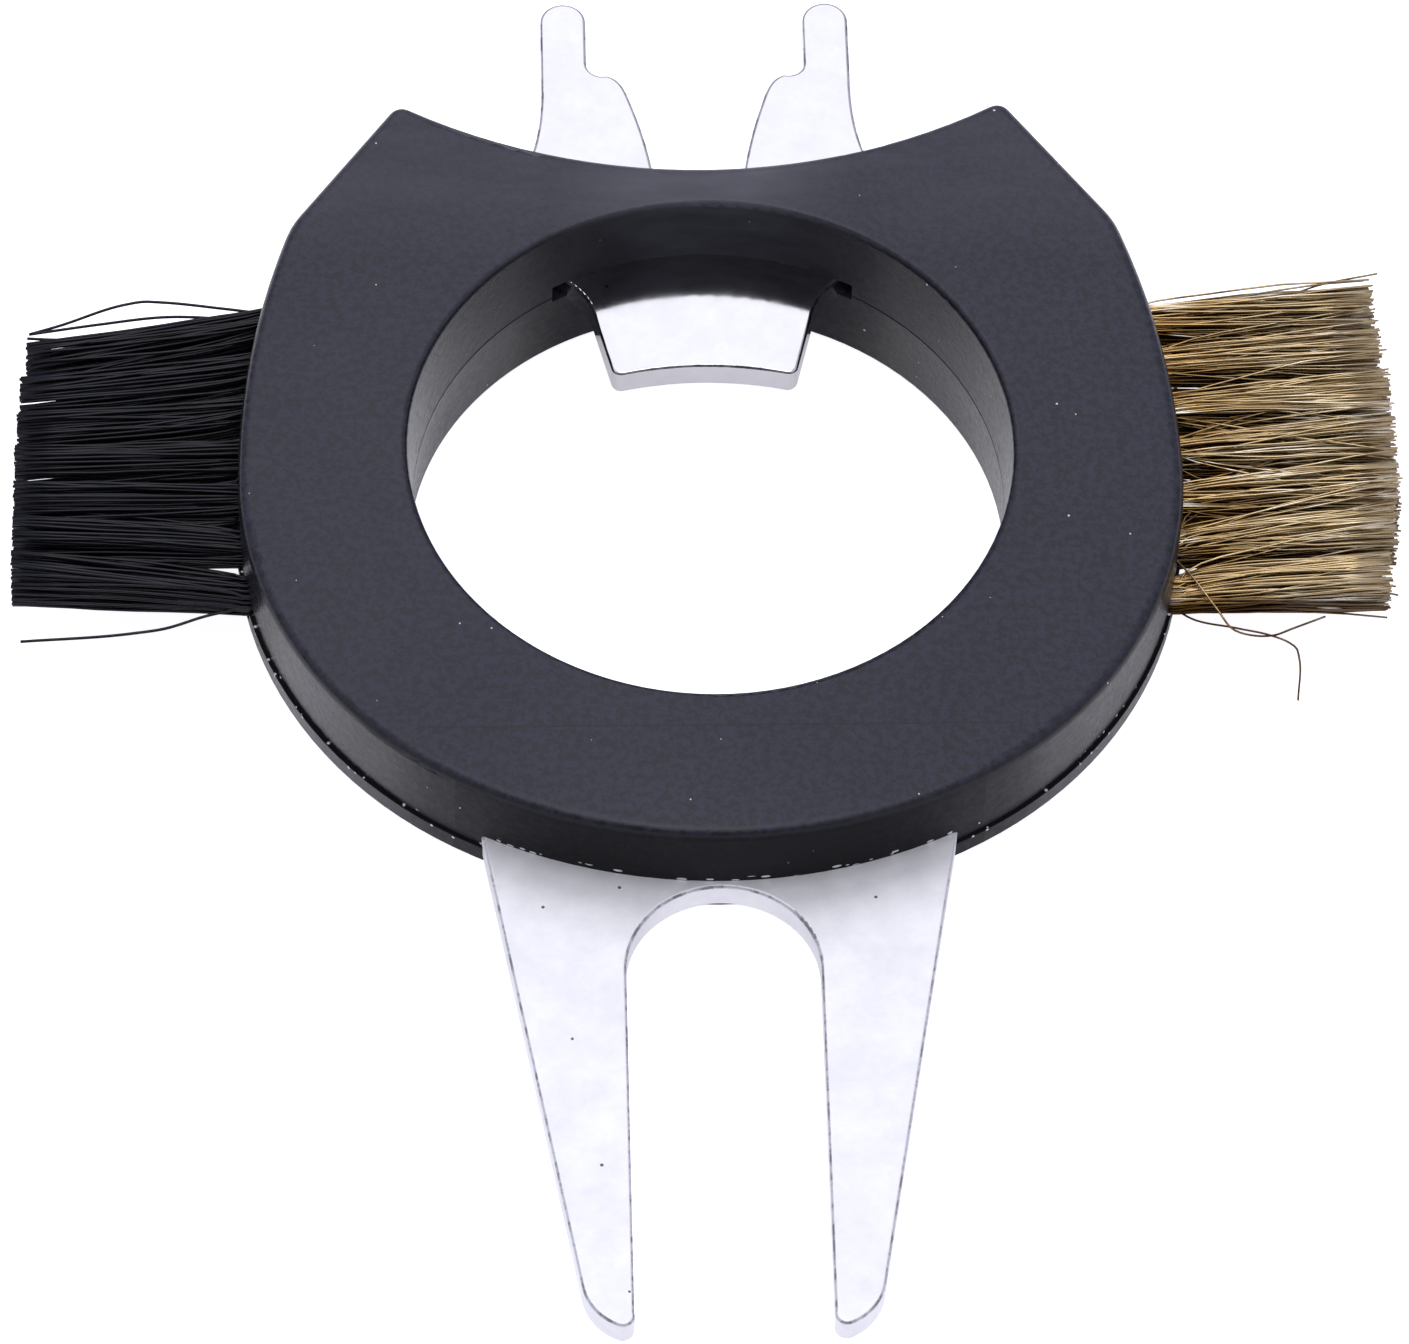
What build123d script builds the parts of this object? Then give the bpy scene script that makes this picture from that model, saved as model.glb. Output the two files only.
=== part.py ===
from build123d import *

import os

# Club groove brush: a plastic ring in two halves, closed around two stamped metal plates,
# with a nylon brush drilled into its left side and a brass brush into its right side.
# Millimetres. Origin: centre of the ring's hole, on the flat underside. +Y: spike wrench.
# +X: brass brush. +Z: up through the ring.

# Ring body
body_height = 11.0
mid_height = body_height / 2
rim_rounding = 0.7
hole_radius = 17.05         # at the seam, where the hole is narrowest
hole_draft = 3.0
hole_rounding = 0.4
front_reach = 27.0          # hole centre to the front of the ring
front_corner = (14.8, -23.0)
half_width = 27.0
widest_place = -1.7
flank_corner = (24.05, 16.2)
horn_tip = (17.8, 25.15)
rear_reach = 20.15          # hole centre to the lowest point of the club rest
horn_rounding = 0.9
flank_rounding = 6.0

# Lower half: a little proud of the upper one, with its outer wall cut back to a bevel
seam_step = 0.2
skirt_height = 1.2
bevel_angle = 39.0          # from upright
bevel_rounding = 0.6

# Stamped plates, both lying in the seam
plate_thickness = 1.8
plate_bottom = mid_height - plate_thickness / 2
plate_edge_rounding = 0.2

# Divot fork
fork_back = -19.2           # straight rear edge, inside the plastic
fork_back_half_width = 16.0
fork_back_step = 1.0
fork_shoulder = (13.4, -23.3)
fork_tip_start = (8.2, -53.0)
fork_tip = (6.3, -55.4)
fork_tip_inner = (5.4, -54.6)
slot_half_width = 5.4
slot_top = -27.4

# Opener tongue
tongue_tip_middle = 8.9
tongue_tip_corner = (5.3, 8.2)
tongue_neck = (6.4, 12.7)
tongue_root = (8.7, 15.6)
tongue_tip_rounding = 0.6

# Spike wrench
pin_spacing = 15.75
pin_width = 2.75
pin_tip = 36.2
pin_shoulder = (5.3, 30.7)
pin_inner_end = 31.6
pin_shoulder_bend = (4.0, 28.9)
pin_inner_root = (2.7, 23.4)
pin_outer_bend = 30.0
pin_outer_root = (9.95, 24.6)
pin_shoulder_run = (-1, -0.35)      # way the edge runs at each end of its curves
pin_inner_run = (-0.15, -1)
pin_outer_run = (-0.33, 1)
pin_base = 19.5

# The wrench plate's wings inside the plastic
wing_half_width = 17.0
wing_front = 13.0
wing_wall = 1.2             # plastic left between a wing and the nearest wall

# Pegs on the lower half, which pass through the plates into the upper half
peg_radius = 1.2
peg_clearance = 0.1
peg_height = 3.2
socket_depth = 3.4
fork_peg_places = [(-10.5, -21.7), (0, -22.6), (10.5, -21.7)]
wrench_peg_places = [(-13.0, 18.6), (13.0, 18.6)]
side_peg_places = [(-20.1, 3.0), (20.1, 3.0)]

# Relief notches in the plastic on each side of the tongue's root
notch_size = (1.0, 2.6, 1.3)
notch_place = (8.3, 15.2)
notch_height = 5.75

# Brushes
tuft_count = 7
tuft_pitch = 3.24
tuft_radius = 1.25
tuft_hole_bottom = 22.1     # distance from the hole's axis plane
fan_start = 27.7            # the bristles spread from here, just outside the wall
trim_plane = 40.0           # both brushes are trimmed flat here
tip_half_height = 1.8
brass_side = 1
nylon_side = -1
brush_centre = {brass_side: 2.6, nylon_side: 3.0}   # the middle tuft, behind the hole centre
tip_half_width = {brass_side: 1.5, nylon_side: 1.2}
tip_pitch = {brass_side: 3.2, nylon_side: 2.46}
tip_shift = {brass_side: 0.8, nylon_side: -0.85}   # along Y, from root to tip
side_names = {brass_side: "brass", nylon_side: "nylon"}

# Anchors, each a scrap of flat wire across the bottom of a tuft's hole
anchor_length = 1.6
anchor_width = 2.9          # wider than the hole, so its edges bite into the plastic
anchor_thickness = 0.35
anchor_gap = 0.6            # from the bottom of the hole
anchor_place = tuft_hole_bottom + anchor_gap + anchor_length / 2

tolerance = 0.01

os.makedirs("parts", exist_ok=True)


def save(piece, name):
    """Label a finished piece and write it to its own file."""
    piece.label = name
    export_step(piece, f"parts/{name}.step")


def row_place(side, number, pitch):
    """Y of one tuft, counted from the rear of its brush."""
    return brush_centre[side] + (tuft_count / 2 - number + 0.5) * pitch


def brush_plane(side, distance):
    """A plane facing out along the brush, with its local X along Y and its origin in the seam."""
    return Plane(origin=(side * distance, 0, mid_height), x_dir=(0, 1, 0), z_dir=(side, 0, 0))


# Radius and centre of the club rest's arc, from its depth and the horn tips
rest_depth = horn_tip[1] - rear_reach
rest_radius = (horn_tip[0] ** 2 + rest_depth ** 2) / (2 * rest_depth)
rest_centre = rear_reach + rest_radius

# Where the two straight flanks would meet if the club rest weren't cut between them
flank_run = (flank_corner[0] - horn_tip[0]) / (horn_tip[1] - flank_corner[1])
flanks_meet = horn_tip[1] + horn_tip[0] / flank_run

# The ring's outer wall without the club rest: a round front, gently bowed sides, a soft
# corner where each flank starts, and the flanks run on until they meet.
with BuildSketch() as wall_outline:
    with BuildLine():
        front = TangentArc((0, -front_reach), front_corner, tangent=(1, 0))
        corner = TangentArc(front_corner, (half_width, widest_place), tangent=front % 1)
        side = TangentArc(corner @ 1, flank_corner, tangent=corner % 1)
        Line(flank_corner, (0, flanks_meet))
        mirror(about=Plane.YZ)
    make_face()
    corners = wall_outline.vertices()
    fillet([v for v in corners if abs(v.Y - flank_corner[1]) < tolerance], radius=flank_rounding)

# The ring's outline in the seam, with the concave club rest cut between its two horns
with BuildSketch() as body_outline:
    add(wall_outline.sketch)
    with Locations((0, rest_centre)):
        Circle(rest_radius, mode=Mode.SUBTRACT)
    fillet(body_outline.vertices().group_by(Axis.Y)[-1], radius=horn_rounding)

# Fork plate: two tapering tines around a round-ended slot
with BuildPart() as fork_plate:
    with BuildSketch(Plane.XY.offset(plate_bottom)):
        with BuildLine():
            Polyline((0, fork_back), (fork_back_half_width, fork_back),
                     (fork_back_half_width, fork_back - fork_back_step), fork_shoulder)
            outer = Line(fork_shoulder, fork_tip_start)
            tip = TangentArc(fork_tip_start, fork_tip, tangent=outer % 1)
            TangentArc(fork_tip, fork_tip_inner, tangent=tip % 1)
            Line(fork_tip_inner, (slot_half_width, slot_top - slot_half_width))
            TangentArc((slot_half_width, slot_top - slot_half_width), (0, slot_top), tangent=(0, 1))
            mirror(about=Plane.YZ)
        make_face()
        with Locations(*fork_peg_places):
            Circle(peg_radius + peg_clearance, mode=Mode.SUBTRACT)
    extrude(amount=plate_thickness)
    flat_faces = fork_plate.faces().filter_by(Plane.XY)
    fillet(flat_faces.edges(), radius=plate_edge_rounding)

# One spike-wrench pin, on a shoulder that spreads into the plastic
pin_centre = pin_spacing / 2
pin_inner = pin_centre - pin_width / 2
pin_outer = pin_centre + pin_width / 2
pin_round_start = pin_tip - pin_width / 2
with BuildSketch(Plane.XY.offset(plate_bottom)) as pin_outline:
    with BuildLine():
        Line((pin_outer, pin_outer_bend), (pin_outer, pin_round_start))
        ThreePointArc((pin_outer, pin_round_start), (pin_centre, pin_tip),
                      (pin_inner, pin_round_start))
        Line((pin_inner, pin_round_start), (pin_inner, pin_inner_end))
        TangentArc((pin_inner, pin_inner_end), pin_shoulder, tangent=(0, -1))
        Spline(pin_shoulder, pin_shoulder_bend, pin_inner_root,
               tangents=[pin_shoulder_run, pin_inner_run])
        Polyline(pin_inner_root, (pin_inner_root[0], pin_base), (pin_outer_root[0], pin_base),
                 pin_outer_root)
        Spline(pin_outer_root, (pin_outer, pin_outer_bend),
               tangents=[pin_outer_run, (0, 1)])
    make_face()

# Wrench plate: opener tongue, wings inside the plastic, and two spike-wrench pins
with BuildPart() as wrench_plate:
    with BuildSketch(Plane.XY.offset(plate_bottom)) as wrench_outline:
        # Wings: a bar between the hole and the club rest, clear of both walls
        with Locations((0, wing_front)):
            Rectangle(2 * wing_half_width, rest_centre - wing_front,
                      align=(Align.CENTER, Align.MIN))
        Circle(hole_radius + wing_wall, mode=Mode.SUBTRACT)
        with Locations((0, rest_centre)):
            Circle(rest_radius + wing_wall, mode=Mode.SUBTRACT)
        # Opener tongue, with a hollow tip that hooks under a bottle cap
        with BuildLine():
            tip = ThreePointArc((-tongue_tip_corner[0], tongue_tip_corner[1]),
                                (0, tongue_tip_middle), tongue_tip_corner)
            neck = Line(tongue_tip_corner, tongue_neck)
            root = TangentArc(tongue_neck, tongue_root, tangent=neck % 1)
            Line(tongue_root, (0, rear_reach - wing_wall))
            mirror(neck, about=Plane.YZ)
            mirror(root, about=Plane.YZ)
            Line((-tongue_root[0], tongue_root[1]), (0, rear_reach - wing_wall))
        make_face()
        add(pin_outline.sketch)
        mirror(pin_outline.sketch, about=Plane.YZ)
        tip_corners = [v for v in wrench_outline.vertices() if v.Y < tongue_tip_corner[1] + tolerance]
        fillet(tip_corners, radius=tongue_tip_rounding)
        with Locations(*wrench_peg_places):
            Circle(peg_radius + peg_clearance, mode=Mode.SUBTRACT)
    extrude(amount=plate_thickness)
    flat_faces = wrench_plate.faces().filter_by(Plane.XY)
    fillet(flat_faces.edges(), radius=plate_edge_rounding)

save(fork_plate.part, "fork_plate")
save(wrench_plate.part, "wrench_plate")

# Tufts and anchors. A tuft fills its drilled hole, is folded around its anchor at the
# bottom, and spreads outside the wall until it is trimmed.
tufts = []
anchors = []
for side in (brass_side, nylon_side):
    with BuildPart() as side_anchors:
        for number in range(1, tuft_count + 1):
            with Locations((side * anchor_place, row_place(side, number, tuft_pitch), mid_height)):
                Box(anchor_length, anchor_width, anchor_thickness)
    anchors.append(side_anchors.part)
    save(side_anchors.part, f"{side_names[side]}_anchors")
    for number in range(1, tuft_count + 1):
        root_y = row_place(side, number, tuft_pitch)
        tip_y = row_place(side, number, tip_pitch[side]) + tip_shift[side]
        with BuildPart() as tuft:
            with BuildSketch(brush_plane(side, tuft_hole_bottom)):
                with Locations((root_y, 0)):
                    Circle(tuft_radius)
            extrude(amount=fan_start - tuft_hole_bottom)
            with BuildSketch(brush_plane(side, fan_start)):
                with Locations((root_y, 0)):
                    Circle(tuft_radius)
            with BuildSketch(brush_plane(side, trim_plane)):
                with Locations((tip_y, 0)):
                    Ellipse(tip_half_width[side], tip_half_height)
            loft()
            add(side_anchors.part, mode=Mode.SUBTRACT)
        tufts.append(tuft.part)
        save(tuft.part, f"{side_names[side]}_tuft_{number}")

# Relief notches, pegs and the sockets over the pegs
with BuildPart() as relief_notches:
    with Locations((notch_place[0], notch_place[1], notch_height),
                   (-notch_place[0], notch_place[1], notch_height)):
        Box(*notch_size)

peg_places = fork_peg_places + wrench_peg_places + side_peg_places
with BuildPart() as pegs:
    with Locations(*[(x, y, mid_height) for x, y in peg_places]):
        Cylinder(peg_radius, plate_thickness / 2 + peg_height,
                 align=(Align.CENTER, Align.CENTER, Align.MIN))
with BuildPart() as sockets:
    with Locations(*[(x, y, mid_height) for x, y in peg_places]):
        Cylinder(peg_radius + peg_clearance, plate_thickness / 2 + socket_depth,
                 align=(Align.CENTER, Align.CENTER, Align.MIN))

contents = [fork_plate.part, wrench_plate.part, relief_notches.part, *tufts, *anchors]


def cut_hole(height):
    """The flaring cutter for one half's share of the hole, from the seam to a flat face."""
    with BuildPart() as cutter:
        with BuildSketch(Plane.XY.offset(mid_height)):
            Circle(hole_radius)
        extrude(amount=height, taper=-hole_draft)
    return cutter.part


def round_hole_edge(face):
    """Round the rim of the hole in one of the ring's flat faces."""
    fillet(face.inner_wires().edges(), radius=hole_rounding)


# Upper half: a straight-walled ring with a rounded rim and a socket over each peg
with BuildPart() as upper_shell:
    with BuildSketch(Plane.XY.offset(mid_height)):
        add(body_outline.sketch)
    extrude(amount=mid_height)
    add(cut_hole(mid_height), mode=Mode.SUBTRACT)
    fillet(upper_shell.faces().sort_by(Axis.Z)[-1].outer_wire().edges(), radius=rim_rounding)
    round_hole_edge(upper_shell.faces().sort_by(Axis.Z)[-1])
    for piece in contents:
        add(piece, mode=Mode.SUBTRACT)
    add(sockets.part, mode=Mode.SUBTRACT)

# Lower half: a short skirt under the seam, then a bevel all round but for the club rest,
# with the pegs standing in its seam face
with BuildPart() as bevel_envelope:
    with BuildSketch(Plane.XY.offset(mid_height)):
        add(wall_outline.sketch)
        offset(amount=seam_step)
    extrude(amount=-skirt_height)
    with BuildSketch(Plane.XY.offset(mid_height - skirt_height)):
        add(wall_outline.sketch)
        offset(amount=seam_step)
    extrude(amount=skirt_height - mid_height, taper=bevel_angle)

with BuildPart() as lower_shell:
    with BuildSketch(Plane.XY.offset(mid_height)):
        add(body_outline.sketch)
        offset(amount=seam_step)
    extrude(amount=-mid_height)
    add(bevel_envelope.part, mode=Mode.INTERSECT)
    add(cut_hole(-mid_height), mode=Mode.SUBTRACT)
    fillet(lower_shell.faces().sort_by(Axis.Z)[0].outer_wire().edges(), radius=bevel_rounding)
    round_hole_edge(lower_shell.faces().sort_by(Axis.Z)[0])
    for piece in contents:
        add(piece, mode=Mode.SUBTRACT)
    add(pegs.part)

save(upper_shell.part, "upper_shell")
save(lower_shell.part, "lower_shell")
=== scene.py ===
"""Looks of the club groove brush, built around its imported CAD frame. Metres, +Z up.

The shells and plates keep their CAD shape and get materials. Each tuft is replaced by separate
bristles, which are laid out in millimetres and scaled when they are meshed.
"""

from math import cos, pi, radians, sin

import bpy
import numpy as np
from mathutils import Matrix, Vector


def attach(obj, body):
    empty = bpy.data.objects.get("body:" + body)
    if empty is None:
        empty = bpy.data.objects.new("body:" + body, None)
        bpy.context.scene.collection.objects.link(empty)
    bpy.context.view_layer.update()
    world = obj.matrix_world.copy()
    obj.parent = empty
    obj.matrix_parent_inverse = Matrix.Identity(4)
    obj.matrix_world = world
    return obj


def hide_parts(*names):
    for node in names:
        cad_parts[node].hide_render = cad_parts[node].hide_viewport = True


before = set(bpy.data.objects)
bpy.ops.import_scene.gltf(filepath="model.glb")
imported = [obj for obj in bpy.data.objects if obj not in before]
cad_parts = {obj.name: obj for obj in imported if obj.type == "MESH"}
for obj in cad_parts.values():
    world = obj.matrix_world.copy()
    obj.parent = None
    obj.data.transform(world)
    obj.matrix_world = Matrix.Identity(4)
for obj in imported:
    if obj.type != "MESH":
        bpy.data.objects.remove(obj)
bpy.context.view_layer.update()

MM = 0.001
SEAM = 5.5                  # height of the seam between the two shells, mm
PLATE_TOP = 6.4             # height of the plates' top faces, mm
TUFTS = 7
TUFT_PITCH = 3.24
BRUSH_CENTRE = {1: 2.6, -1: 3.0}    # Y of each brush's middle tuft, by the sign of its X, mm
ROOT_X = 24.0               # where a bristle starts, inside its hole
ROOT_RADIUS = 1.15          # of the bundle in its hole
WALL_X = 27.0               # the side wall at its widest
WALL_Y = -1.7               # where it is widest
WALL_CURVE = 0.0092         # how the wall falls away from there, per mm
TRIM_X = 40.0               # where the longest tuft is trimmed
BRASS_RADIUS = 0.065
NYLON_RADIUS = 0.095
rng = np.random.default_rng(14)


# ---------------------------------------------------------------- node helpers

def new_material(name):
    """An empty node material: returns it with its tree and its Principled shader."""
    material = bpy.data.materials.new(name)
    material.use_nodes = True
    tree = material.node_tree
    return material, tree, tree.nodes["Principled BSDF"]


def add_node(tree, kind, values=None, **properties):
    """A node with the given properties, and input values by socket name."""
    node = tree.nodes.new(kind)
    for key, value in properties.items():
        setattr(node, key, value)
    for key, value in (values or {}).items():
        node.inputs[key].default_value = value
    return node


def place(tree, stretch=(1, 1, 1)):
    """Object coordinates, stretched along each axis."""
    coordinates = add_node(tree, "ShaderNodeTexCoord")
    mapping = add_node(tree, "ShaderNodeMapping", {"Scale": stretch})
    tree.links.new(coordinates.outputs["Object"], mapping.inputs["Vector"])
    return mapping.outputs["Vector"]


def axes(tree, vector):
    """A vector's X, Y and Z, as sockets."""
    split = add_node(tree, "ShaderNodeSeparateXYZ")
    tree.links.new(vector, split.inputs["Vector"])
    return split.outputs["X"], split.outputs["Y"], split.outputs["Z"]


def facing(tree):
    """The X, Y and Z of the direction that the surface faces."""
    return axes(tree, add_node(tree, "ShaderNodeNewGeometry").outputs["Normal"])


def noise(tree, vector, scale, detail=2.0, roughness=0.5):
    """Noise of a given scale, as a socket."""
    node = add_node(tree, "ShaderNodeTexNoise",
                    {"Scale": scale, "Detail": detail, "Roughness": roughness})
    tree.links.new(vector, node.inputs["Vector"])
    return node.outputs["Fac"]


def remap(tree, value, low, high, to_low=0.0, to_high=1.0):
    """A socket's range carried to another range, and clamped there."""
    node = add_node(tree, "ShaderNodeMapRange", {"From Min": low, "From Max": high,
                                                 "To Min": to_low, "To Max": to_high})
    tree.links.new(value, node.inputs["Value"])
    return node.outputs["Result"]


def calc(tree, operation, first, second=0.0):
    """A math node on two sockets or numbers."""
    node = add_node(tree, "ShaderNodeMath", operation=operation)
    for socket, value in zip(node.inputs, (first, second)):
        if isinstance(value, (int, float)):
            socket.default_value = value
        else:
            tree.links.new(value, socket)
    return node.outputs["Value"]


def unsigned(tree, value):
    """A socket's value without its sign."""
    return calc(tree, "ABSOLUTE", value)


def product(tree, first, *others):
    """Several sockets or numbers multiplied together."""
    for other in others:
        first = calc(tree, "MULTIPLY", first, other)
    return first


def below(tree, value, limit):
    """A mask of where a socket is under a limit."""
    return calc(tree, "LESS_THAN", value, limit)


def above(tree, value, limit):
    """A mask of where a socket is over a limit."""
    return calc(tree, "GREATER_THAN", value, limit)


def band(tree, value, centre, reach):
    """A mask of where a socket is within reach of a centre."""
    return below(tree, unsigned(tree, calc(tree, "SUBTRACT", value, centre)), reach)


def blend(tree, factor, first, second):
    """A mix of two colours, each a tuple or a socket."""
    node = add_node(tree, "ShaderNodeMix", data_type="RGBA")
    sockets = [s for s in node.inputs if s.type == "RGBA"]
    tree.links.new(factor, node.inputs["Factor"])
    for socket, value in zip(sockets, (first, second)):
        if isinstance(value, tuple):
            socket.default_value = value + (1.0,)
        else:
            tree.links.new(value, socket)
    return next(s for s in node.outputs if s.type == "RGBA")


def bump(tree, shader, height, strength, distance):
    """Raises a height socket into the shader's normal."""
    node = add_node(tree, "ShaderNodeBump", {"Strength": strength, "Distance": distance})
    tree.links.new(height, node.inputs["Height"])
    tree.links.new(node.outputs["Normal"], shader.inputs["Normal"])


def specks(tree, vector, scale, radius, share):
    """A mask of small round specks, one in some cells of a grid of the given scale."""
    cells = add_node(tree, "ShaderNodeTexVoronoi", {"Scale": scale})
    tree.links.new(vector, cells.inputs["Vector"])
    split = add_node(tree, "ShaderNodeSeparateColor")
    tree.links.new(cells.outputs["Color"], split.inputs["Color"])
    return product(tree, below(tree, cells.outputs["Distance"], radius),
                   below(tree, split.outputs["Red"], share))


# ---------------------------------------------------------------- materials

def plastic_marks(tree, vector, x, y, z):
    """Masks of the marks on the plastic: the dark seam, dark lines, and bright specks, among them
    painted glints.
    """
    sideways = unsigned(tree, x)
    seam = band(tree, z, SEAM * MM, 0.07 * MM)

    # a faint straight witness line across the front of the top face
    witness = product(tree, band(tree, y, -19.6 * MM, 0.05 * MM),
                      below(tree, sideways, 16.6 * MM), above(tree, z, 9 * MM), 0.6)
    dark = calc(tree, "MAXIMUM", seam, witness)

    dust = calc(tree, "MAXIMUM", specks(tree, vector, 420.0, 0.030, 0.50),
                specks(tree, vector, 1100.0, 0.055, 0.13))
    # broken plastic along the outer seam only, not inside the ring's hole
    outer = above(tree, calc(tree, "ADD", sideways, unsigned(tree, y)), 26 * MM)
    flecks = product(tree, band(tree, z, SEAM * MM, 0.3 * MM),
                     specks(tree, vector, 2600.0, 0.25, 0.30), outer)
    # painted glints: highlights painted as bright specks on the lip over the fork
    lip = product(tree, band(tree, z, (PLATE_TOP + 0.22) * MM, 0.18 * MM),
                  below(tree, y, -20 * MM), below(tree, sideways, 13 * MM))
    glints = product(tree, lip, specks(tree, place(tree, (0.35, 1.0, 1.0)), 2800.0, 0.30, 0.85))
    bright = calc(tree, "MAXIMUM", dust, calc(tree, "MAXIMUM", flecks, glints))
    return seam, dark, bright


def plastic_material():
    """Charcoal moulded plastic: satin, finely grained, dusty, and worn at the club rest, where a
    sheen is painted too.
    """
    material, tree, shader = new_material("charcoal_plastic")
    vector = place(tree)
    x, y, z = axes(tree, vector)
    facing_x, facing_y, facing_z = facing(tree)
    seam, dark_marks, bright_marks = plastic_marks(tree, vector, x, y, z)
    cloud = noise(tree, vector, 130.0, 4.0, 0.6)
    grain = noise(tree, vector, 2100.0, 4.0, 0.7)

    mottle = calc(tree, "ADD", product(tree, cloud, 0.35),
                  product(tree, remap(tree, grain, 0.42, 0.58), 0.65))
    top = blend(tree, mottle, (0.0, 0.0, 0.005), (0.025, 0.0262, 0.050))
    walls = blend(tree, cloud, (0.006, 0.0055, 0.009), (0.012, 0.0108, 0.0155))
    # painted shade: walls that face the front are darker (the same mask also makes them rougher)
    front = remap(tree, facing_y, -0.75, -0.97)
    walls = blend(tree, front, walls, (0.005, 0.005, 0.007))
    # painted light: upward faces take the lighter, bluer top colour and the walls a darker one
    colour = blend(tree, remap(tree, facing_z, 0.5, 0.95), walls, top)

    # painted sheen and wear: a lighter, shinier patch on the rear strip of the top face, most in
    # the middle
    rear = remap(tree, y, 13 * MM, 19 * MM)
    middle = remap(tree, unsigned(tree, x), 9 * MM, 3 * MM, 0.3, 1.0)
    smear = noise(tree, place(tree, (0.25, 1.0, 1.0)), 700.0, 3.0)
    wear_and_painted_light = product(tree, rear, middle, remap(tree, smear, 0.3, 0.7, 0.5, 1.0))
    colour = blend(tree, wear_and_painted_light, colour, (0.085, 0.085, 0.108))
    colour = blend(tree, dark_marks, colour, (0.0, 0.0, 0.0))
    colour = blend(tree, bright_marks, colour, (0.75, 0.74, 0.72))
    tree.links.new(colour, shader.inputs["Base Color"])

    haze = remap(tree, noise(tree, vector, 60.0, 3.0), 0.3, 0.7, 0.35, 0.48)
    haze = calc(tree, "SUBTRACT", haze, product(tree, wear_and_painted_light, 0.10))
    haze = calc(tree, "ADD", haze, product(tree, front, 0.60))
    flanks = remap(tree, unsigned(tree, facing_x), 0.35, 0.75, 0.0, 0.14)
    haze = calc(tree, "SUBTRACT", haze, flanks)
    haze = calc(tree, "ADD", haze, remap(tree, grain, 0.35, 0.65, -0.06, 0.06))
    haze = calc(tree, "MINIMUM", calc(tree, "MAXIMUM", haze, seam), 1.0)
    tree.links.new(haze, shader.inputs["Roughness"])
    bump(tree, shader, grain, 1.0, 0.03 * MM)
    shader.inputs["IOR"].default_value = 1.45
    return material


def steel_material(name, dark, light, haze_low, haze_high, metallic):
    """Bright plated steel, with a faint orange peel, rounded edges darkened by painted shade, and
    tiny pits.
    """
    material, tree, shader = new_material(name)
    vector = place(tree)
    tone = remap(tree, noise(tree, vector, 520.0, 6.0, 0.7), 0.34, 0.66)
    colour = blend(tree, tone, dark, light)
    pits = specks(tree, vector, 700.0, 0.07, 0.12)
    colour = blend(tree, pits, colour, (0.12, 0.12, 0.13))

    # painted shade: the rounded edges, between the flat and the upright faces, take a darker grey
    # that noise breaks up
    upright = unsigned(tree, facing(tree)[2])
    edge = product(tree, remap(tree, upright, 0.15, 0.35),
                   remap(tree, upright, 0.90, 0.97, 1.0, 0.0))
    broken = remap(tree, noise(tree, vector, 900.0, 4.0, 0.7), 0.40, 0.54)
    wear_and_painted_light = blend(tree, broken, (0.26, 0.26, 0.285), (0.70, 0.69, 0.74))
    colour = blend(tree, edge, colour, wear_and_painted_light)
    tree.links.new(colour, shader.inputs["Base Color"])
    shader.inputs["Metallic"].default_value = metallic

    haze = remap(tree, noise(tree, vector, 400.0, 3.0), 0.3, 0.7, haze_low, haze_high)
    tree.links.new(haze, shader.inputs["Roughness"])
    peel = noise(tree, vector, 900.0, 2.0)
    bump(tree, shader, peel, 0.10, 0.02 * MM)
    return material


def brass_material():
    """Brass wire, golden at the roots and paler at the tips; painted light on top of each tuft,
    painted shade below it and painted streaky highlights.
    """
    material, tree, shader = new_material("brass_wire")
    x, _, z = axes(tree, place(tree))
    along = place(tree, (0.05, 1.0, 1.0))
    outward = remap(tree, x, 27 * MM, 34 * MM)
    light = blend(tree, outward, (0.66, 0.41, 0.125), (0.59, 0.465, 0.285))
    dark = blend(tree, outward, (0.15, 0.075, 0.022), (0.21, 0.138, 0.066))
    streaks = remap(tree, noise(tree, along, 3500.0, 2.0), 0.35, 0.65)
    colour = blend(tree, streaks, dark, light)

    # painted highlights: whitish streaks, in patches
    patches = noise(tree, place(tree, (0.3, 1.0, 1.0)), 480.0, 1.0)
    shine = product(tree, remap(tree, noise(tree, along, 2600.0, 1.0), 0.50, 0.62),
                    remap(tree, patches, 0.47, 0.58))
    colour = blend(tree, shine, colour, (1.0, 0.94, 0.80))
    # painted light: the top of each tuft is paler
    crest = remap(tree, z, (SEAM + 0.8) * MM, (SEAM + 1.5) * MM, 0.0, 0.5)
    colour = blend(tree, crest, colour, (0.84, 0.66, 0.38))
    # painted shade: the lower side of each tuft is dark, most near the roots
    low = remap(tree, z, (SEAM + 1.1) * MM, (SEAM + 0.2) * MM)
    rooted = remap(tree, x, 30 * MM, 41 * MM, 1.0, 0.5)
    colour = blend(tree, product(tree, low, rooted), colour, (0.07, 0.035, 0.01))
    tree.links.new(colour, shader.inputs["Base Color"])
    shader.inputs["Metallic"].default_value = 1.0

    haze = remap(tree, noise(tree, along, 2100.0), 0.3, 0.7, 0.22, 0.34)
    tree.links.new(haze, shader.inputs["Roughness"])
    return material


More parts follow.
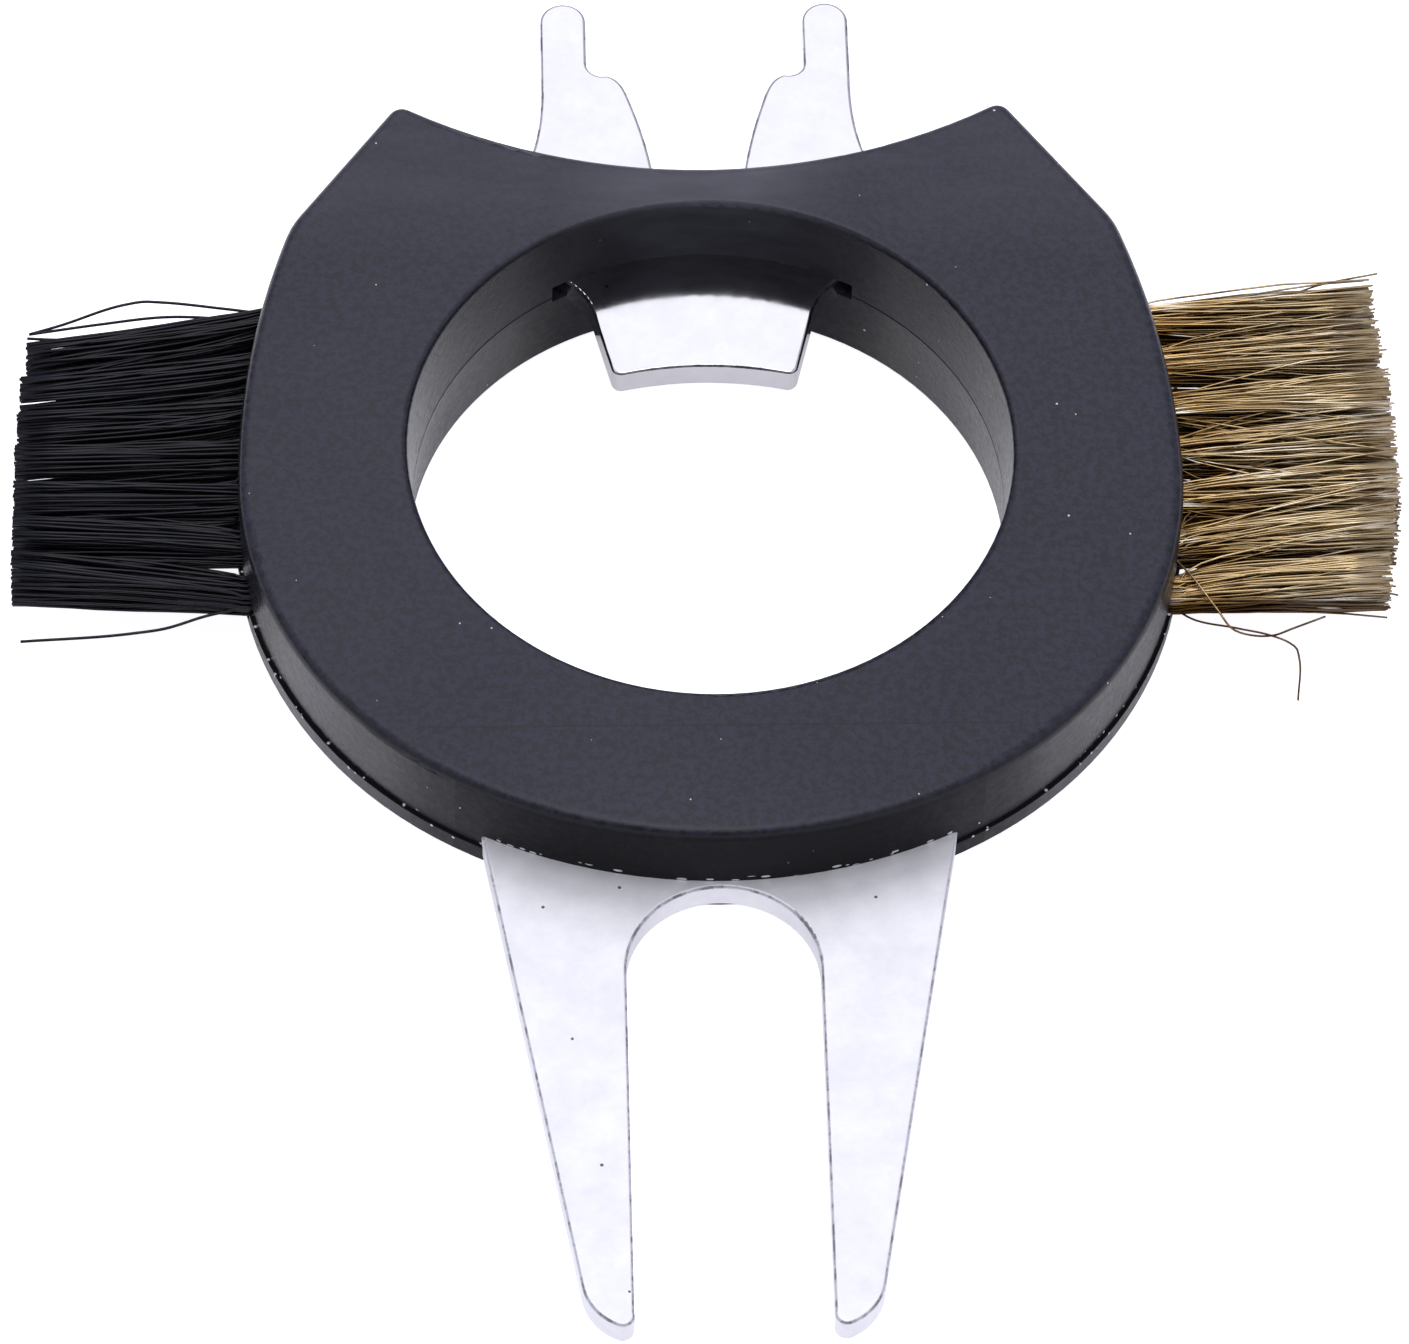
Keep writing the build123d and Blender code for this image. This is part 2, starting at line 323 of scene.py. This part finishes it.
def nylon_material():
    """Black nylon bristles, a little different from one to the next."""
    material, tree, shader = new_material("black_nylon")
    along = place(tree, (0.05, 1.0, 1.0))
    streaks = remap(tree, noise(tree, along, 3000.0, 2.0), 0.35, 0.65)
    colour = blend(tree, streaks, (0.003, 0.003, 0.005), (0.011, 0.0115, 0.018))
    tree.links.new(colour, shader.inputs["Base Color"])
    haze = remap(tree, noise(tree, along, 1800.0), 0.3, 0.7, 0.24, 0.36)
    tree.links.new(haze, shader.inputs["Roughness"])
    shader.inputs["Specular IOR Level"].default_value = 0.3
    return material


def dress(nodes, material):
    """Gives CAD nodes their material."""
    for node in nodes:
        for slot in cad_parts[node].material_slots:
            slot.material = material


brass = brass_material()
nylon = nylon_material()
dress(["upper_shell", "lower_shell"], plastic_material())
dress(["wrench_plate"], steel_material("polished_steel", dark=(0.555, 0.555, 0.57),
                                       light=(0.605, 0.605, 0.62),
                                       haze_low=0.07, haze_high=0.12, metallic=1.0))
dress(["fork_plate"], steel_material("satin_steel", dark=(0.86, 0.86, 0.895),
                                     light=(0.95, 0.95, 0.97),
                                     haze_low=0.42, haze_high=0.52, metallic=0.45))
dress(["brass_anchors", "nylon_anchors"], brass)


# ---------------------------------------------------------------- bristles

def tubes(name, lines, radius, sides, material):
    """One mesh of closed thin tubes, one along each row of centre points (mm)."""
    turn = 2 * pi * np.arange(sides) / sides
    verts = []
    faces = []
    for line in lines:
        line = np.asarray(line)
        along = np.gradient(line, axis=0)
        along /= np.linalg.norm(along, axis=1)[:, None]
        across = np.cross(along, (0.0, 0.0, 1.0))
        across /= np.linalg.norm(across, axis=1)[:, None]
        upward = np.cross(across, along)
        ring = (across[:, None] * np.cos(turn)[None, :, None]
                + upward[:, None] * np.sin(turn)[None, :, None])
        start = len(verts)
        verts.extend(((line[:, None] + radius * ring) * MM).reshape(-1, 3).tolist())
        for step in range(len(line) - 1):
            low = start + step * sides
            high = low + sides
            for side in range(sides):
                after = (side + 1) % sides
                faces.append((low + side, low + after, high + after, high + side))
        last = start + (len(line) - 1) * sides
        faces.append(tuple(range(start + sides - 1, start - 1, -1)))
        faces.append(tuple(range(last, last + sides)))
    mesh = bpy.data.meshes.new(name)
    mesh.from_pydata(verts, [], faces)
    mesh.polygons.foreach_set("use_smooth", [len(face) == 4 for face in faces])
    mesh.materials.append(material)
    piece = bpy.data.objects.new(name, mesh)
    bpy.context.scene.collection.objects.link(piece)
    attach(piece, "root")
    return piece


def smooth_line(points, count=40):
    """A smooth line through a few points, at even steps."""
    points = np.asarray(points, dtype=float)
    gaps = np.linalg.norm(np.diff(points, axis=0), axis=1)
    place_along = np.r_[0, np.cumsum(gaps)]
    slopes = np.gradient(points, place_along, axis=0)
    line = []
    for step in np.linspace(0, place_along[-1], count):
        i = min(np.searchsorted(place_along, step, side="right") - 1, len(points) - 2)
        width = place_along[i + 1] - place_along[i]
        t = (step - place_along[i]) / width
        line.append((2 * t**3 - 3 * t**2 + 1) * points[i]
                    + (t**3 - 2 * t**2 + t) * width * slopes[i]
                    + (3 * t**2 - 2 * t**3) * points[i + 1]
                    + (t**3 - t**2) * width * slopes[i + 1])
    return np.array(line)


def tuft_lines(side, number, count, tip_pitch, tip_shift, tip_width, tip_height, trims,
               wander, wave, ragged, loose_share, loose_reach, filler):
    """Centre lines of one tuft's bristles, which fan out from a round hole.

    A root or tip is a place in a unit circle, as (towards the rear, upwards). The first few
    bristles, as many as filler says, close the gap to the next tuft in front.
    """
    rank = TUFTS / 2 - number + 0.5
    root_y = BRUSH_CENTRE[side] + rank * TUFT_PITCH
    tip_y = BRUSH_CENTRE[side] + tip_shift + rank * tip_pitch
    mouth = WALL_X - WALL_CURVE * (root_y - WALL_Y) ** 2
    t = np.linspace(0, 1, 9) ** 1.6
    lines = []
    for _ in range(count):
        reach = rng.random() ** 0.38
        angle = 2 * pi * rng.random()
        root = np.array((cos(angle), sin(angle))) * reach
        tip = root + rng.normal(0, wander, 2)
        tip /= max(1.0, np.linalg.norm(tip))
        if rng.random() < loose_share:
            tip = tip + rng.normal(0, loose_reach, 2) * (1.0, 0.2)
        if number == 1:
            tip[0] = min(tip[0], 1.0)
        if number == TUFTS:
            tip[0] = max(tip[0], -1.0)
        fills_gap = len(lines) < filler and number not in (1, TUFTS - 1, TUFTS)
        if fills_gap:
            root = np.array((-0.95, rng.uniform(-0.3, 0.3)))
            tip = np.array((rng.uniform(-1.3, -0.9), rng.uniform(-0.8, 0.3)))
        trim = TRIM_X - trims[number - 1] - abs(rng.normal(0, ragged))
        x = mouth + (trim - mouth) * t
        spread = t ** (rng.uniform(0.08, 0.3) if fills_gap else rng.uniform(0.45, 1.1))
        phase = rng.random(2) * 2 * pi
        bow = wave * np.sin(pi * t)
        sway, lift = (bow * np.sin(2 * pi * t * rng.uniform(0.6, 1.4) + start) for start in phase)
        y = ((root_y + ROOT_RADIUS * root[0]) * (1 - spread)
             + (tip_y + tip_width * tip[0]) * spread + sway)
        z = ROOT_RADIUS * root[1] * (1 - spread) + tip_height * tip[1] * spread + lift
        inside = [[ROOT_X, root_y + ROOT_RADIUS * root[0], ROOT_RADIUS * root[1]]]
        line = np.vstack([inside, np.column_stack([x, y, z])])
        line[:, 0] *= side
        line[:, 2] += SEAM
        lines.append(line)
    return lines


BRASS = dict(count=190, tip_pitch=3.2, tip_shift=0.8, tip_width=1.7, tip_height=1.7,
             trims=(0.6, 0.4, 0.1, 0.0, 0.0, 0.4, 1.0), wander=0.4, wave=0.10, ragged=0.25,
             loose_share=0.20, loose_reach=1.1, filler=14)
NYLON = dict(count=110, tip_pitch=2.46, tip_shift=-0.85, tip_width=1.5, tip_height=1.7,
             trims=(0.5, 0.2, 0.1, 0.0, 0.0, 0.0, 0.0), wander=0.28, wave=0.05, ragged=0.08,
             loose_share=0.03, loose_reach=0.6, filler=28)

# Stray bristles by the number of the tuft they leave: points in mm, outwards, with X unsigned
BRASS_STRAYS = {
    1: [[(25.6, 12.9, 5.5), (30.0, 13.5, 5.5), (34.7, 14.5, 5.5), (36.2, 15.1, 5.5),
         (39.9, 16.0, 5.5)]],
    6: [[(26.2, -4.1, 6.0), (26.7, -5.6, 6.7), (27.4, -6.8, 7.0), (28.8, -8.8, 6.5),
         (29.7, -9.9, 6.0), (31.0, -10.15, 5.7), (32.2, -9.95, 5.5), (33.0, -9.6, 5.5),
         (35.1, -8.7, 5.5)]],
    7: [[(26.3, -7.7, 5.3), (27.3, -8.55, 5.3), (30.0, -9.4, 5.4), (31.9, -10.0, 5.5),
         (32.9, -10.5, 5.5), (33.3, -10.9, 5.5), (33.4, -11.5, 5.5), (33.15, -14.5, 5.5)]],
}
NYLON_STRAYS = {
    1: [[(25.6, 13.6, 5.5), (28.1, 14.0, 5.5), (31.8, 14.5, 5.5), (32.8, 14.55, 5.5),
         (33.8, 14.35, 5.5), (37.7, 12.8, 5.5), (39.4, 12.2, 5.5)],
        [(25.6, 13.0, 5.5), (31.6, 13.4, 5.5), (35.3, 12.9, 5.5), (39.4, 12.2, 5.5)],
        [(25.6, 12.8, 5.5), (33.0, 12.5, 5.5), (37.4, 11.8, 5.5), (39.5, 11.9, 5.5)]],
    7: [[(26.4, -7.4, 5.5), (28.8, -8.0, 5.5), (31.3, -8.9, 5.5), (33.1, -9.2, 5.5),
         (39.4, -9.7, 5.5)]],
}


def brush_lines(side, number, shape, strays):
    """Centre lines of one tuft and of the strays that leave it."""
    lines = tuft_lines(side, number, **shape)
    for stray in strays.get(number, []):
        lines.append(smooth_line(stray) * (side, 1, 1))
    return lines


for number in range(1, TUFTS + 1):
    lines = brush_lines(1, number, BRASS, BRASS_STRAYS)
    piece = tubes(f"brass_bristles_{number}", lines, BRASS_RADIUS, 5, brass)
    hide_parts(f"brass_tuft_{number}")

for number in range(1, TUFTS + 1):
    lines = brush_lines(-1, number, NYLON, NYLON_STRAYS)
    piece = tubes(f"nylon_bristles_{number}", lines, NYLON_RADIUS, 6, nylon)
    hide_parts(f"nylon_tuft_{number}")


# ---------------------------------------------------------------- stage, light and camera

def white_floor():
    """A plain pale floor, large enough for every view.

    It glows more to the camera than to the object, so that it reads white without flooding
    the walls with light.
    """
    reach = 1.5
    drop = -0.0002
    corners = [(-reach, -reach, 0), (reach, -reach, 0), (reach, reach, 0), (-reach, reach, 0)]
    mesh = bpy.data.meshes.new("floor")
    mesh.from_pydata(corners, [], [(0, 1, 2, 3)])
    material, tree, shader = new_material("pale_floor")
    shader.inputs["Base Color"].default_value = (0.86, 0.85, 0.885, 1.0)
    shader.inputs["Roughness"].default_value = 0.9
    shader.inputs["Emission Color"].default_value = (1.0, 0.985, 1.03, 1.0)
    path = add_node(tree, "ShaderNodeLightPath")
    glow = remap(tree, path.outputs["Is Camera Ray"], 0.0, 1.0, 0.38, 0.92)
    tree.links.new(glow, shader.inputs["Emission Strength"])
    mesh.materials.append(material)
    floor = bpy.data.objects.new("floor", mesh)
    floor.location = (0, 0, drop)
    bpy.context.scene.collection.objects.link(floor)


def softbox(name, location, aim, width, height, power):
    """A large rectangular studio light that points at the object."""
    light = bpy.data.lights.new(name, "AREA")
    light.shape = "RECTANGLE"
    light.size = width
    light.size_y = height
    light.energy = power
    lamp = bpy.data.objects.new(name, light)
    lamp.location = location
    lamp.rotation_euler = (Vector(aim) - Vector(location)).to_track_quat("-Z", "Y").to_euler()
    bpy.context.scene.collection.objects.link(lamp)


def studio_world():
    """A white tent with a dark opening high at the front and a dark horizon."""
    world = bpy.data.worlds.new("studio")
    world.use_nodes = True
    bpy.context.scene.world = world
    tree = world.node_tree
    direction = add_node(tree, "ShaderNodeTexCoord").outputs["Generated"]
    toward = add_node(tree, "ShaderNodeVectorMath", operation="DOT_PRODUCT")
    toward.inputs[1].default_value = (-0.03, -0.62, 0.78)
    tree.links.new(direction, toward.inputs[0])
    opening = remap(tree, toward.outputs["Value"], 0.80, 0.93)
    horizon = remap(tree, axes(tree, direction)[2], 0.25, 0.45, 0.70, 0.0)
    shade = calc(tree, "MAXIMUM", opening, horizon)
    colour = blend(tree, shade, (0.94, 0.95, 1.10), (0.06, 0.06, 0.066))
    background = tree.nodes["Background"]
    tree.links.new(colour, background.inputs["Color"])
    background.inputs["Strength"].default_value = 0.72


def camera(aim, distance, elevation, swing, roll):
    """A long lens in front of and above the fork; the angles are in degrees."""
    data = bpy.data.cameras.new("camera")
    data.lens = 204.4
    data.sensor_width = 36.0
    holder = bpy.data.objects.new("camera", data)
    elevation, swing, roll = map(radians, (elevation, swing, roll))
    back = Vector((-cos(elevation) * sin(swing), -cos(elevation) * cos(swing), sin(elevation)))
    right = Vector((cos(swing), -sin(swing), 0.0))
    up = back.cross(right)
    tilted_right = cos(roll) * right + sin(roll) * up
    tilted_up = cos(roll) * up - sin(roll) * right
    turn = Matrix((tilted_right, tilted_up, back)).transposed().to_4x4()
    holder.matrix_world = Matrix.Translation(Vector(aim) + distance * back) @ turn
    bpy.context.scene.collection.objects.link(holder)
    bpy.context.scene.camera = holder


white_floor()
studio_world()
softbox("top_light", (-0.15, 0.45, 0.75), (0, 0, 0.01), 0.7, 0.5, 1.05)
softbox("overhead_light", (0, -0.12, 0.85), (0, -0.03, 0.005), 0.6, 0.6, 2.2)
camera(aim=(-0.00076, -0.01601, 0.011), distance=0.448, elevation=55.2, swing=3.28, roll=2.21)
bpy.context.scene.view_settings.view_transform = "Standard"
